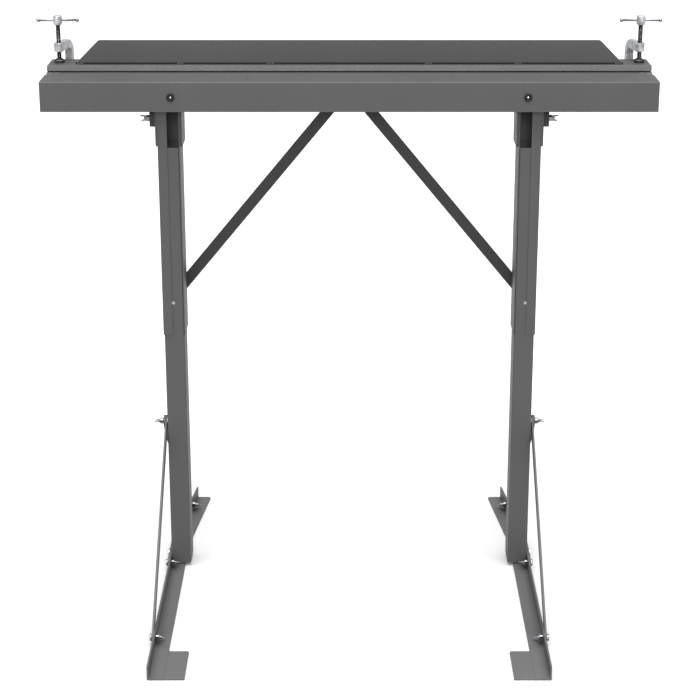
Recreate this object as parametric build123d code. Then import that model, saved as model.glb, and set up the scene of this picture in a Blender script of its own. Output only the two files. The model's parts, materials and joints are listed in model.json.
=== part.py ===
from build123d import *
import os
from math import atan2, cos, degrees, radians, sin, tan

# Bench-length sheet metal bending brake on a bolted steel stand.
# X runs along the bending line, +Y points to the rear and +Z up; the operator stands on the -Y side.
# The origin is the middle of the footprint, on the floor. "Right" is +X and "left" is -X.
# Every piece of the right-hand side is drawn once and mirrored for the left-hand side.

os.makedirs("parts", exist_ok=True)

# ---- driving dimensions (mm) ---------------------------------------------------------------
TABLE_Z = 870.0            # working surface above the floor
BEAM_HALF = 500.0          # half the length of the leaf, the bed and the clamp bar
LEAF_Y = 30.5              # front face of the leaf

LEAF_DROP = 49.0           # height of the leaf's front flange
LEAF_DEPTH = 76.5          # depth of the leaf's top flange
LEAF_T = 8.0
LEAF_HOLE_X = 165.0        # small stop-gauge holes in the leaf's top flange
LEAF_HOLE_Y = LEAF_Y + 35.0
HANDLE_BOLT_X = 288.5      # bolts that close the two handle sockets
HANDLE_BOLT_Z = 845.0

AXIS_Y = LEAF_Y + 78.7     # hinge line, just under the working surface
AXIS_Z = TABLE_Z - 4.0
PIN_R = 2.5
PIN_FIT = 0.05
BED_LUG_X = (488.8, 499.5)
LEAF_LUG_X = (477.5, 488.3)
LUG_NOTCH_Y = LEAF_Y + 62.0
LEAF_LUG_R = 4.4
BED_LUG_R = 6.0
LEAF_LUG_DEPTH = 14.0

BED_Y = LEAF_Y + 83.9      # front face of the bed
BED_DEPTH = 66.0
BED_TOP_T = 10.0
BED_WEB_T = 8.0
BED_BOTTOM_Z = 810.0

SHIM_T = 1.5               # the clamp bar stands on a shim at each end
SHIM_X = (466.0, 496.0)
SHIM_Y = (BED_Y + 8.0, BED_Y + 58.0)
BAR_Y = LEAF_Y + 84.5
BAR_DEPTH = 62.0
BAR_T = 9.0
BAR_NOSE = 3.5             # how far the nose leans back over its height
STIFF_Y = BAR_Y + 14.5     # upright flange of the stiffening angle
STIFF_T = 4.5
STIFF_H = 40.0
STIFF_DEPTH = 40.0
STIFF_HALF = 455.0
STIFF_CORNER_R = 8.0
STIFF_HEEL_R = 4.0         # outside of the bend, along the front of its foot

LEG_X = (277.6, 314.6)     # inner and outer face of the upper leg
LEG_Y = (LEAF_Y + 22.4, LEAF_Y + 80.4)
LEG_T = 1.6
BEND_R = 0.6
LIP_W = 16.0
UPPER_LEG_Z = (432.0, 858.0)
LOWER_LEG_Z = (6.0, 756.0)
LOWER_LEG_BACK_Y = LEAF_Y + 72.0
SPLICE_X = 296.5
SPLICE_Z = 488.0
SPLICE_SINK = 2.5          # the bolt's tip stays this far inside its hole in the lip

SOCKET_T = 3.5
SOCKET_Z = (756.5, 861.5)
SOCKET_FRONT_Y = LEAF_Y + 27.0
SOCKET_CHAMFER = 5.0
SIDE_BLOCK = 25.0
SIDE_BLOCK_T = 10.0
SIDE_BOLT_Y = LEAF_Y + 52.0
SIDE_BOLT_Z = 800.0
SOCKET_BOLT_Z = (824.0, 848.0)

BEAM_T = 2.5               # base beams: steel angle
BEAM_H = 24.0
BEAM_FLANGE = 26.0
FRONT_BEAM_Y = (LEAF_Y - 374.0, LEAF_Y + 88.0)
PAD_INNER_X = 257.0
PAD_DEPTH = 88.0
REAR_TAB_Y = LEAF_Y
REAR_BEND_Y = LEAF_Y + 88.0
REAR_END_Y = LEAF_Y + 313.0
TOE_IN_DEG = 6.8           # the rear beams turn inwards behind the legs
BASE_BOLT_Z = 14.0
TAB_BOLT_Y = LEAF_Y + 8.5
FOOT_BOLT_Y = LEAF_Y + 50.0

STRUT_W = 20.0
STRUT_T = 3.0
STRUT_TOP = (LEAF_Y + 50.0, 265.0)
FRONT_STRUT_END_Y = LEAF_Y - 262.0
REAR_STRUT_END_Y = LEAF_Y + 253.0
KNEE_W = 18.5
KNEE_T = 3.5
KNEE_LOW = (SPLICE_X, SPLICE_Z)
KNEE_HIGH = (18.5, 826.0)

BOLT_R = 3.0
HEAD_R = 6.0
HEAD_T = 3.5
WASHER_T = 1.0
NUT_R = 5.8
NUT_T = 5.0

CLAMP_X = 483.0
CLAMP_Y = BAR_Y + 31.5
CLAMP_TURN_DEG = 10.0      # the C-frames point rearwards, turned a little towards the middle
FRAME_W = 13.0
FRAME_SECTION = 12.0
THROAT = 48.0
BOSS_R = 8.0
BOSS_H = 14.5
BOSS_Z = 899.0
SCREW_R = 4.0
HEAD_Z = (943.5, 959.0)
SPINDLE_HEAD_R = 7.25
TIP_R = 3.2
PAD_R = 9.25
TOMMY_Z = 951.0
TOMMY_R = 2.0
TOMMY_HALF = 35.5
TOMMY_BALL_R = 3.2

# ---- derived levels ------------------------------------------------------------------------
BED_UNDER_Z = TABLE_Z - BED_TOP_T
BED_WEB_BACK_Y = BED_Y + BED_WEB_T
BAR_Z = (TABLE_Z + SHIM_T, TABLE_Z + SHIM_T + BAR_T)
LOWER_X = (LEG_X[0] + LEG_T, LEG_X[1] - LEG_T)
BEAM_X = (LOWER_X[1] + BEAM_T - BEAM_FLANGE, LOWER_X[1] + BEAM_T)
REAR_OUT_X = BEAM_X[1] + BEAM_T
FRONT_STRUT_X = (BEAM_X[1], BEAM_X[1] + STRUT_T)
PAD_Z = BAR_Z[1]


# ---- small makers --------------------------------------------------------------------------
def block(x, y, z):
    """A box between low and high faces on each axis."""
    centre = Pos((x[0] + x[1]) / 2, (y[0] + y[1]) / 2, (z[0] + z[1]) / 2)
    return centre * Box(x[1] - x[0], y[1] - y[0], z[1] - z[0])


def rod_x(x, y, z, radius):
    """A round bar along X."""
    return Pos((x[0] + x[1]) / 2, y, z) * Rot(0, 90, 0) * Cylinder(radius, x[1] - x[0])


def rod_y(x, y, z, radius):
    """A round bar along Y."""
    return Pos(x, (y[0] + y[1]) / 2, z) * Rot(90, 0, 0) * Cylinder(radius, y[1] - y[0])


def rod_z(x, y, z, radius):
    """A round bar along Z."""
    return Pos(x, y, (z[0] + z[1]) / 2) * Cylinder(radius, z[1] - z[0])


def prism_x(points, x):
    """A (y, z) outline drawn out along X."""
    outline = Plane.YZ * make_face(Polyline(*points, close=True))
    return Pos(x[0], 0, 0) * extrude(outline, x[1] - x[0], dir=(1, 0, 0))


def prism_z(points, z):
    """An (x, y) outline drawn out along Z."""
    outline = make_face(Polyline(*points, close=True))
    return Pos(0, 0, z[0]) * extrude(outline, z[1] - z[0], dir=(0, 0, 1))


def hexagon_x(x, y, z, radius):
    """A hexagon nut or head along X."""
    outline = Plane.YZ * RegularPolygon(radius, 6)
    return Pos(x[0], y, z) * extrude(outline, x[1] - x[0], dir=(1, 0, 0))


def hexagon_y(x, y, z, radius):
    """A hexagon nut or head along Y."""
    outline = Plane.XZ * RegularPolygon(radius, 6)
    return Pos(x, y[0], z) * extrude(outline, y[1] - y[0], dir=(0, 1, 0))


def mirrored(shape):
    """The left-hand copy of a right-hand shape."""
    return mirror(shape, about=Plane.YZ)


def save(name, *solids):
    """Write one node; several separate solids may share it."""
    shape = solids[0] if len(solids) == 1 else Compound(children=list(solids))
    export_step(shape, f"parts/{name}.step")


def save_pair(name, shape):
    """Write the right-hand piece and its mirrored left-hand piece."""
    save(f"{name}_right", shape)
    save(f"{name}_left", mirrored(shape))


def save_both(name, shapes):
    """Write fasteners of both sides into one node."""
    save(name, *shapes, *[mirrored(shape) for shape in shapes])


# ---- bending leaf --------------------------------------------------------------------------
def leaf_angle():
    """Front angle that swings up about the hinge line."""
    back = LEAF_Y + LEAF_DEPTH
    low = TABLE_Z - LEAF_DROP
    outline = [
        (LEAF_Y, low), (LEAF_Y + LEAF_T, low), (LEAF_Y + LEAF_T, TABLE_Z - LEAF_T),
        (back, TABLE_Z - LEAF_T), (back, TABLE_Z), (LEAF_Y, TABLE_Z),
    ]
    leaf = prism_x(outline, (-BEAM_HALF, BEAM_HALF))
    edges = leaf.edges().filter_by(Axis.X)
    outer = edges.sort_by(Axis.Z)[-2:].sort_by(Axis.Y)[0]
    leaf = fillet(outer, 1.5)
    for side in (-1, 1):
        notch = sorted((side * LEAF_LUG_X[0], side * (BEAM_HALF + 1)))
        leaf -= block(notch, (LUG_NOTCH_Y, back + 1), (TABLE_Z - LEAF_T - 1, TABLE_Z + 1))
        leaf -= rod_z(side * LEAF_HOLE_X, LEAF_HOLE_Y, (TABLE_Z - LEAF_T - 1, TABLE_Z + 1), 2.5)
        leaf -= rod_y(side * HANDLE_BOLT_X, (LEAF_Y - 1, LEAF_Y + LEAF_T + 1), HANDLE_BOLT_Z, BOLT_R + 1)
    return leaf


def leaf_lug():
    """Hinge ear welded into the corner notch of the leaf."""
    low = TABLE_Z - LEAF_LUG_DEPTH
    body = block(LEAF_LUG_X, (LUG_NOTCH_Y, AXIS_Y), (AXIS_Z - LEAF_LUG_R, AXIS_Z + 4.0))
    body += block(LEAF_LUG_X, (LUG_NOTCH_Y, AXIS_Y - LEAF_LUG_R), (low, AXIS_Z))
    body += rod_x(LEAF_LUG_X, AXIS_Y, AXIS_Z, LEAF_LUG_R)
    body -= rod_x((LEAF_LUG_X[0] - 1, LEAF_LUG_X[1] + 1), AXIS_Y, AXIS_Z, PIN_R + PIN_FIT)
    return body


def handle_bolt():
    """Socket-head bolt with its washer and nut, closing a handle socket."""
    front = LEAF_Y
    bolt = rod_y(HANDLE_BOLT_X, (front - 2.6, front), HANDLE_BOLT_Z, 6.6)
    bolt -= hexagon_y(HANDLE_BOLT_X, (front - 3.6, front - 0.8), HANDLE_BOLT_Z, 2.9)
    bolt += rod_y(HANDLE_BOLT_X, (front - 0.5, front + 14.5), HANDLE_BOLT_Z, BOLT_R + 1)
    bolt += hexagon_y(HANDLE_BOLT_X, (front + LEAF_T, front + LEAF_T + NUT_T), HANDLE_BOLT_Z, 7.5)
    return bolt


# ---- bed and clamp bar ---------------------------------------------------------------------
def bed_angle():
    """Fixed angle under the clamp bar."""
    back = BED_Y + BED_DEPTH
    outline = [
        (BED_Y, BED_BOTTOM_Z), (BED_WEB_BACK_Y, BED_BOTTOM_Z), (BED_WEB_BACK_Y, BED_UNDER_Z),
        (back, BED_UNDER_Z), (back, TABLE_Z), (BED_Y, TABLE_Z),
    ]
    bed = prism_x(outline, (-BEAM_HALF, BEAM_HALF))
    web = (BED_Y - 1, BED_WEB_BACK_Y + 1)
    for side in (-1, 1):
        bed -= rod_y(side * KNEE_HIGH[0], web, KNEE_HIGH[1], BOLT_R)
        for level in SOCKET_BOLT_Z:
            bed -= rod_y(side * SPLICE_X, web, level, BOLT_R)
    return bed


def bed_lug():
    """Hinge ear welded to the front of the bed, flush with the working surface."""
    ear = rod_x(BED_LUG_X, AXIS_Y, AXIS_Z, BED_LUG_R)
    ear += block(BED_LUG_X, (AXIS_Y, BED_Y), (AXIS_Z - BED_LUG_R, TABLE_Z))
    wide = (BED_LUG_X[0] - 1, BED_LUG_X[1] + 1)
    ear -= block(wide, (AXIS_Y - 9, BED_Y), (TABLE_Z, TABLE_Z + 9))
    ear -= block(wide, (BED_Y, BED_Y + 9), (AXIS_Z - 9, AXIS_Z + 9))
    ear -= rod_x(wide, AXIS_Y, AXIS_Z, PIN_R)
    return ear


def clamp_bar_plate():
    """Flat hold-down bar with a nose that leans back."""
    outline = [
        (BAR_Y, BAR_Z[0]), (BAR_Y + BAR_DEPTH, BAR_Z[0]),
        (BAR_Y + BAR_DEPTH, BAR_Z[1]), (BAR_Y + BAR_NOSE, BAR_Z[1]),
    ]
    return prism_x(outline, (-BEAM_HALF, BEAM_HALF))


def clamp_bar_stiffener():
    """Angle on top of the clamp bar, with the ends of both flanges cut at 45 degrees."""
    low = BAR_Z[1]
    top = low + STIFF_H
    corners = [(-STIFF_HALF, low), (STIFF_HALF, low), (STIFF_HALF - STIFF_H, top), (STIFF_H - STIFF_HALF, top)]
    face = Plane.XZ * make_face(Polyline(*corners, close=True))
    upright = Pos(0, STIFF_Y, 0) * extrude(face, STIFF_T, dir=(0, 1, 0))
    upper = upright.edges().filter_by(Axis.Y).sort_by(Axis.Z)[-2:]
    upright = fillet(upper, STIFF_CORNER_R)
    back, back_half = STIFF_Y + STIFF_DEPTH, STIFF_HALF - STIFF_DEPTH
    foot = prism_z(
        [(-STIFF_HALF, STIFF_Y), (STIFF_HALF, STIFF_Y), (back_half, back), (-back_half, back)], (low, low + STIFF_T)
    )
    angle = upright + foot
    heel = angle.edges().filter_by(Axis.X).sort_by_distance((0, STIFF_Y, low))[0]
    return fillet(heel, STIFF_HEEL_R)


# ---- legs and their sockets ----------------------------------------------------------------
def bend_corners(channel, outside, inside):
    """Round the upright bend lines of a folded channel, given their places in plan."""
    for corners, radius in ((outside, BEND_R + LEG_T), (inside, BEND_R)):
        for x, y in corners:
            edge = channel.edges().filter_by(Axis.Z).sort_by_distance((x, y, channel.center().Z))[0]
            channel = fillet(edge, radius)
    return channel


def upper_leg():
    """Folded channel, open at the front except for a lip on its outer side."""
    inner, outer = LEG_X
    front, back = LEG_Y
    outline = [
        (inner, front), (inner + LEG_T, front), (inner + LEG_T, back - LEG_T),
        (outer - LEG_T, back - LEG_T), (outer - LEG_T, front + LEG_T),
        (outer - LIP_W, front + LEG_T), (outer - LIP_W, front), (outer, front),
        (outer, back), (inner, back),
    ]
    leg = bend_corners(
        prism_z(outline, UPPER_LEG_Z),
        [(outer, front), (outer, back), (inner, back)],
        [(outer - LEG_T, front + LEG_T), (outer - LEG_T, back - LEG_T), (inner + LEG_T, back - LEG_T)],
    )
    leg -= rod_y(SPLICE_X, (front - 1, back + 1), SPLICE_Z, BOLT_R)
    for level in SOCKET_BOLT_Z:
        leg -= rod_y(SPLICE_X, (back - 5, back + 1), level, BOLT_R)
    leg -= rod_x((outer - 5, outer + 1), SIDE_BOLT_Y, SIDE_BOLT_Z, BOLT_R)
    return leg


def lower_leg():
    """Channel that nests in the upper leg, with its web to the front."""
    inner, outer = LOWER_X
    front = LEG_Y[0] + LEG_T
    outline = [
        (inner, front), (outer, front), (outer, LOWER_LEG_BACK_Y), (outer - LEG_T, LOWER_LEG_BACK_Y),
        (outer - LEG_T, front + LEG_T), (inner + LEG_T, front + LEG_T),
        (inner + LEG_T, LOWER_LEG_BACK_Y), (inner, LOWER_LEG_BACK_Y),
    ]
    leg = bend_corners(
        prism_z(outline, LOWER_LEG_Z),
        [(inner, front), (outer, front)],
        [(inner + LEG_T, front + LEG_T), (outer - LEG_T, front + LEG_T)],
    )
    leg -= rod_y(SPLICE_X, (front - 1, front + 5), SPLICE_Z, BOLT_R)
    for y, z in (STRUT_TOP, (FOOT_BOLT_Y, BASE_BOLT_Z)):
        leg -= rod_x((outer - 5, outer + 1), y, z, BOLT_R)
    return leg


def leg_socket():
    """Welded bracket under the bed: a back plate with a cheek on each side of the leg."""
    inner, outer = LEG_X
    back = LEG_Y[1]
    plate = block((inner - SOCKET_T, outer + SOCKET_T), (back, BED_Y), SOCKET_Z)
    for low_x, high_x in ((inner - SOCKET_T, inner), (outer, outer + SOCKET_T)):
        outline = [
            (back, SOCKET_Z[0]), (back, SOCKET_Z[1]), (SOCKET_FRONT_Y, SOCKET_Z[1]),
            (SOCKET_FRONT_Y, SOCKET_Z[0] + SOCKET_CHAMFER), (SOCKET_FRONT_Y + SOCKET_CHAMFER, SOCKET_Z[0]),
        ]
        plate += prism_x(outline, (low_x, high_x))
    for level in SOCKET_BOLT_Z:
        plate -= rod_y(SPLICE_X, (back - 1, BED_Y + 1), level, BOLT_R)
    plate -= rod_x((outer - 1, outer + SOCKET_T + 1), SIDE_BOLT_Y, SIDE_BOLT_Z, BOLT_R)
    return plate


def side_block():
    """Square block that the side bolt pulls against the outer cheek."""
    low_x = LEG_X[1] + SOCKET_T
    half = SIDE_BLOCK / 2
    piece = block(
        (low_x, low_x + SIDE_BLOCK_T),
        (SIDE_BOLT_Y - half, SIDE_BOLT_Y + half),
        (SIDE_BOLT_Z - half, SIDE_BOLT_Z + half),
    )
    piece = chamfer(piece.edges().filter_by(Axis.X), 2.0)
    return piece - rod_x((low_x - 1, low_x + SIDE_BLOCK_T + 1), SIDE_BOLT_Y, SIDE_BOLT_Z, BOLT_R)


def backing_plate():
    """Plate inside the leg that spreads the load of the two socket bolts."""
    front = LEG_Y[1] - LEG_T - SOCKET_T
    plate = block((LOWER_X[0] + 1.0, LOWER_X[1] - 1.0), (front, LEG_Y[1] - LEG_T), SOCKET_Z)
    for level in SOCKET_BOLT_Z:
        plate -= rod_y(SPLICE_X, (front - 1, LEG_Y[1]), level, BOLT_R)
    return plate


def knee_brace():
    """Flat bar from the leg splice to the middle of the bed."""
    run = KNEE_LOW[0] - KNEE_HIGH[0]
    rise = KNEE_HIGH[1] - KNEE_LOW[1]
    length = (run ** 2 + rise ** 2) ** 0.5
    outline = Plane.XZ * (Rot(0, 0, degrees(atan2(rise, -run))) * SlotCenterToCenter(length, KNEE_W))
    middle = Pos((KNEE_LOW[0] + KNEE_HIGH[0]) / 2, LEG_Y[1], (KNEE_LOW[1] + KNEE_HIGH[1]) / 2)
    bar = middle * extrude(outline, KNEE_T, dir=(0, 1, 0))
    for x, z in (KNEE_LOW, KNEE_HIGH):
        bar -= rod_y(x, (LEG_Y[1] - 1, LEG_Y[1] + KNEE_T + 1), z, BOLT_R)
    return bar


# ---- base ----------------------------------------------------------------------------------
def front_beam():
    """Base angle that reaches forward from the leg, its upright flange outwards."""
    inner, outer = BEAM_X
    upright = block((outer - BEAM_T, outer), FRONT_BEAM_Y, (0, BEAM_H))
    flat = block((inner, outer), FRONT_BEAM_Y, (0, BEAM_T))
    beam = upright + flat
    for y in (FRONT_STRUT_END_Y, TAB_BOLT_Y, FOOT_BOLT_Y):
        beam -= rod_x((outer - BEAM_T - 1, outer + 1), y, BASE_BOLT_Z, BOLT_R)
    return beam


def front_pad():
    """Foot plate butt-welded to the inner edge of the front beam."""
    pad_y = (FRONT_BEAM_Y[0], FRONT_BEAM_Y[0] + PAD_DEPTH)
    pad = block((PAD_INNER_X, BEAM_X[0]), pad_y, (0, BEAM_T))
    rear_corner = pad.edges().filter_by(Axis.Z).group_by(Axis.X)[0].sort_by(Axis.Y)[-1]
    return fillet(rear_corner, 3.0)


def rear_x(y, inset=0.0):
    """Outer face of the toed-in rear beam at y, or a line parallel to it further in."""
    return REAR_OUT_X - inset - max(y - REAR_BEND_Y, 0.0) * tan(radians(TOE_IN_DEG))


def at_rear_bolt(shape):
    """Move a shape drawn along X, seat at the origin, to the rear beam's strut bolt."""
    seat = Pos(rear_x(REAR_STRUT_END_Y, BEAM_T), REAR_STRUT_END_Y, BASE_BOLT_Z)
    return seat * Rot(0, 0, TOE_IN_DEG) * shape


def rear_beam():
    """Base angle behind the leg: a flat tab on the front beam, then the toed-in angle."""
    tab = block((REAR_OUT_X - BEAM_T, REAR_OUT_X), (REAR_TAB_Y, REAR_BEND_Y), (0, BEAM_H))
    tab = fillet(tab.edges().filter_by(Axis.X).group_by(Axis.Y)[0], 9.0)
    upright = prism_z(
        [
            (rear_x(REAR_BEND_Y), REAR_BEND_Y), (rear_x(REAR_END_Y), REAR_END_Y),
            (rear_x(REAR_END_Y, BEAM_T), REAR_END_Y), (rear_x(REAR_BEND_Y, BEAM_T), REAR_BEND_Y),
        ],
        (0, BEAM_H),
    )
    flat_start = REAR_BEND_Y + 2.0
    flat = prism_z(
        [
            (rear_x(flat_start, BEAM_T), flat_start), (rear_x(REAR_END_Y, BEAM_T), REAR_END_Y),
            (rear_x(REAR_END_Y, BEAM_FLANGE), REAR_END_Y), (rear_x(flat_start, BEAM_FLANGE), flat_start),
        ],
        (0, BEAM_T),
    )
    corner = flat.edges().filter_by(Axis.Z).sort_by_distance((rear_x(REAR_END_Y, BEAM_FLANGE), REAR_END_Y, 0))[0]
    beam = tab + upright + fillet(corner, 5.0)
    for y in (TAB_BOLT_Y, FOOT_BOLT_Y):
        beam -= rod_x((REAR_OUT_X - BEAM_T - 1, REAR_OUT_X + 1), y, BASE_BOLT_Z, BOLT_R)
    return beam - at_rear_bolt(rod_x((-9, 9), 0, 0, BOLT_R))


def strut_outline(end_y):
    """Side view of a strut as a wide block: round ends and the upper hole."""
    top_y, top_z = STRUT_TOP
    length = ((end_y - top_y) ** 2 + (BASE_BOLT_Z - top_z) ** 2) ** 0.5
    angle = degrees(atan2(BASE_BOLT_Z - top_z, end_y - top_y))
    outline = Plane.YZ * (Rot(0, 0, angle) * SlotCenterToCenter(length, STRUT_W))
    middle = Pos(LOWER_X[1] - 60, (top_y + end_y) / 2, (top_z + BASE_BOLT_Z) / 2)
    bar = middle * extrude(outline, 90, dir=(1, 0, 0))
    return bar - rod_x((LOWER_X[1] - 70, LOWER_X[1] + 40), *STRUT_TOP, BOLT_R)


def front_strut():
    """Flat bar from the leg down to the front beam."""
    sheet = block(FRONT_STRUT_X, (FRONT_STRUT_END_Y - 20, STRUT_TOP[0] + 20), (0, STRUT_TOP[1] + 20))
    strut = strut_outline(FRONT_STRUT_END_Y) & sheet
    return strut - rod_x((LOWER_X[1], LOWER_X[1] + 20), FRONT_STRUT_END_Y, BASE_BOLT_Z, BOLT_R)


def rear_strut():
    """Flat bar from the leg down to the rear beam, bent twice to follow the toe-in."""
    flat_end = STRUT_TOP[0] + 14.0
    low_start = REAR_STRUT_END_Y - 34.0
    tail = REAR_STRUT_END_Y + 14.0
    near = FRONT_STRUT_X[1]
    line = [
        (near, STRUT_TOP[0] - 14.0), (near, flat_end), (rear_x(low_start), low_start), (rear_x(tail), tail),
    ]
    far_side = [(x + STRUT_T, y) for x, y in reversed(line)]
    sheet = prism_z(line + far_side, (0, STRUT_TOP[1] + 20))
    return (strut_outline(REAR_STRUT_END_Y) & sheet) - at_rear_bolt(rod_x((-9, 9), 0, 0, BOLT_R))


def strut_spacer():
    """Thick washer between the leg and the front strut."""
    ring = rod_x((LOWER_X[1], BEAM_X[1]), *STRUT_TOP, 9.0)
    return ring - rod_x((LOWER_X[1] - 1, BEAM_X[1] + 1), *STRUT_TOP, BOLT_R)


# ---- fasteners -----------------------------------------------------------------------------
def bolt_x(head_x, tip_x, y, z):
    """Round-head bolt along X; the head lies against head_x, on the side away from tip_x."""
    away = 1 if head_x > tip_x else -1
    shank = rod_x(sorted((head_x, tip_x)), y, z, BOLT_R - 0.05)
    head = rod_x(sorted((head_x, head_x + away * HEAD_T)), y, z, HEAD_R)
    return shank + head


def bolt_y(head_y, tip_y, x, z):
    """Hexagon-head bolt along Y; the head lies in front of head_y."""
    return rod_y(x, (head_y, tip_y), z, BOLT_R - 0.05) + hexagon_y(x, (head_y - HEAD_T, head_y), z, HEAD_R)


def nut_y(y, x, z):
    """Hexagon nut along Y that starts at y."""
    return hexagon_y(x, (y, y + NUT_T), z, NUT_R) - rod_y(x, (y - 1, y + NUT_T + 1), z, BOLT_R - 0.05)


def wing_nut(turn_deg):
    """Wing nut in its own frame: seat at the origin, axis along +X, wings turned about it."""
    hub = rod_x((0, 6.5), 0, 0, 5.2)
    wing = [(0.8, 3.4), (6.0, 4.4), (16.0, 10.5), (15.0, 13.5), (7.0, 11.5), (1.6, 6.5)]
    for side in (-1, 1):
        face = Plane.XZ * make_face(Polyline(*[(x, side * z) for x, z in wing], close=True))
        hub += Pos(0, -0.9, 0) * extrude(face, 1.8, dir=(0, 1, 0))
    hub -= rod_x((-1, 9), 0, 0, BOLT_R - 0.05)
    return Rot(turn_deg, 0, 0) * hub


def wing_nuts():
    """Wing nuts of one side."""
    inner_face = BEAM_X[1] - BEAM_T
    inwards = Rot(0, 0, 180)
    return [
        Pos(LEG_X[1] + SOCKET_T + SIDE_BLOCK_T, SIDE_BOLT_Y, SIDE_BOLT_Z) * wing_nut(57),
        Pos(FRONT_STRUT_X[1] + STRUT_T, *STRUT_TOP) * wing_nut(75),
        Pos(inner_face, FRONT_STRUT_END_Y, BASE_BOLT_Z) * inwards * wing_nut(-62),
        Pos(inner_face, TAB_BOLT_Y, BASE_BOLT_Z) * inwards * wing_nut(-62),
        at_rear_bolt(inwards * wing_nut(-65)),
    ]


def wing_bolts():
    """Bolts that carry the wing nuts of one side."""
    seat = LOWER_X[1] - LEG_T
    block_face = LEG_X[1] + SOCKET_T + SIDE_BLOCK_T
    strut_face = FRONT_STRUT_X[1] + STRUT_T
    inner_face = BEAM_X[1] - BEAM_T
    return [
        bolt_x(LEG_X[1] - LEG_T, block_face + 10.0, SIDE_BOLT_Y, SIDE_BOLT_Z),
        bolt_x(seat, strut_face + 10.0, *STRUT_TOP),
        bolt_x(FRONT_STRUT_X[1], inner_face - 10.0, FRONT_STRUT_END_Y, BASE_BOLT_Z),
        bolt_x(REAR_OUT_X, inner_face - 10.0, TAB_BOLT_Y, BASE_BOLT_Z),
        at_rear_bolt(bolt_x(STRUT_T + BEAM_T, -12.0, 0, 0)),
    ]


def frame_bolts():
    """Plain bolts of one side: sockets, splice, knee brace and leg foot."""
    backing = LEG_Y[1] - LEG_T - SOCKET_T
    bolts = [bolt_y(backing, BED_WEB_BACK_Y + NUT_T + 2, SPLICE_X, level) for level in SOCKET_BOLT_Z]
    head = LEG_Y[1] + KNEE_T + WASHER_T
    splice = rod_y(SPLICE_X, (LEG_Y[0] + SPLICE_SINK, head), SPLICE_Z, BOLT_R - 0.05)
    bolts.append(splice + hexagon_y(SPLICE_X, (head, head + HEAD_T), SPLICE_Z, HEAD_R))
    bolts.append(bolt_y(LEG_Y[1], BED_WEB_BACK_Y + NUT_T + 2, *KNEE_HIGH))
    bolts.append(bolt_x(REAR_OUT_X, LOWER_X[1] - LEG_T - NUT_T - 2, FOOT_BOLT_Y, BASE_BOLT_Z))
    return bolts


def frame_nuts():
    """Hexagon nuts of the plain bolts of one side."""
    nuts = [nut_y(BED_WEB_BACK_Y, SPLICE_X, level) for level in SOCKET_BOLT_Z]
    nuts.append(nut_y(LEG_Y[0] + 2 * LEG_T, SPLICE_X, SPLICE_Z))
    nuts.append(nut_y(BED_WEB_BACK_Y, *KNEE_HIGH))
    seat = LOWER_X[1] - LEG_T
    foot = hexagon_x((seat - NUT_T, seat), FOOT_BOLT_Y, BASE_BOLT_Z, NUT_R)
    nuts.append(foot - rod_x((seat - NUT_T - 1, seat + 1), FOOT_BOLT_Y, BASE_BOLT_Z, BOLT_R - 0.05))
    return nuts


def splice_washer():
    """Washer under the head of the splice bolt, behind the knee brace."""
    span = (LEG_Y[1] + KNEE_T, LEG_Y[1] + KNEE_T + WASHER_T)
    return rod_y(SPLICE_X, span, SPLICE_Z, 6.5) - rod_y(SPLICE_X, (span[0] - 1, span[1] + 1), SPLICE_Z, BOLT_R)


# ---- C-clamps ------------------------------------------------------------------------------
def c_clamp_frame():
    """Cast C-frame with a threaded boss above and an anvil under the bed."""
    top = BOSS_Z + BOSS_H
    low = BED_UNDER_Z - BOSS_H
    back = THROAT + FRAME_SECTION
    outer = block((-FRAME_W / 2, FRAME_W / 2), (0, back), (low, top))
    rear_edges = outer.edges().filter_by(Axis.X).group_by(Axis.Y)[-1].sort_by(Axis.Z)
    outer = fillet(rear_edges[-1:], 24.0)
    rear_edges = outer.edges().filter_by(Axis.X).sort_by(Axis.Z)
    lower = [edge for edge in rear_edges if edge.center().Y > back - 1 and edge.center().Z < low + 1]
    outer = fillet(lower, 18.0)
    throat = block((-FRAME_W, FRAME_W), (-1, THROAT), (BED_UNDER_Z, BOSS_Z))
    inner_edges = throat.edges().filter_by(Axis.X).group_by(Axis.Y)[-1]
    frame = outer - fillet(inner_edges, 12.0)
    flanks = frame.edges().filter_by(lambda edge: abs(abs(edge.center().X) - FRAME_W / 2) < 0.01)
    outside = [edge for edge in flanks if edge.center().Y > THROAT + 1 or edge.center().Z > top - 1]
    frame = chamfer(outside, 2.2)
    frame += rod_z(0, 0, (BOSS_Z, top), BOSS_R)
    frame += rod_z(0, 0, (low, BED_UNDER_Z), BOSS_R)
    frame -= rod_z(0, 0, (BOSS_Z - 1, top + 1), SCREW_R + PIN_FIT)
    return Pos(CLAMP_X, CLAMP_Y, 0) * Rot(0, 0, CLAMP_TURN_DEG) * frame


def swivel_pad():
    """Pressure pad with a blind socket for the screw's tip."""
    pad = rod_z(0, 0, (PAD_Z, PAD_Z + 5.5), PAD_R)
    pad = chamfer(pad.edges().group_by(Axis.Z)[-1], 1.5)
    pad += rod_z(0, 0, (PAD_Z + 5.0, PAD_Z + 7.3), 5.2)
    pad -= rod_z(0, 0, (PAD_Z + 2.0, PAD_Z + 9.5), TIP_R + PIN_FIT)
    return Pos(CLAMP_X, CLAMP_Y, 0) * pad


def clamp_screw():
    """Spindle with its turned tip and cross-bored head."""
    screw = rod_z(0, 0, (PAD_Z + 2.3, PAD_Z + 9.5), TIP_R)
    screw += rod_z(0, 0, (PAD_Z + 9.0, HEAD_Z[0] + 1), SCREW_R)
    head = rod_z(0, 0, HEAD_Z, SPINDLE_HEAD_R)
    screw += chamfer(head.edges().filter_by(GeomType.CIRCLE), 1.2)
    screw -= rod_x((-SPINDLE_HEAD_R - 1, SPINDLE_HEAD_R + 1), 0, TOMMY_Z, TOMMY_R + PIN_FIT)
    return Pos(CLAMP_X, CLAMP_Y, 0) * screw


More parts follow.
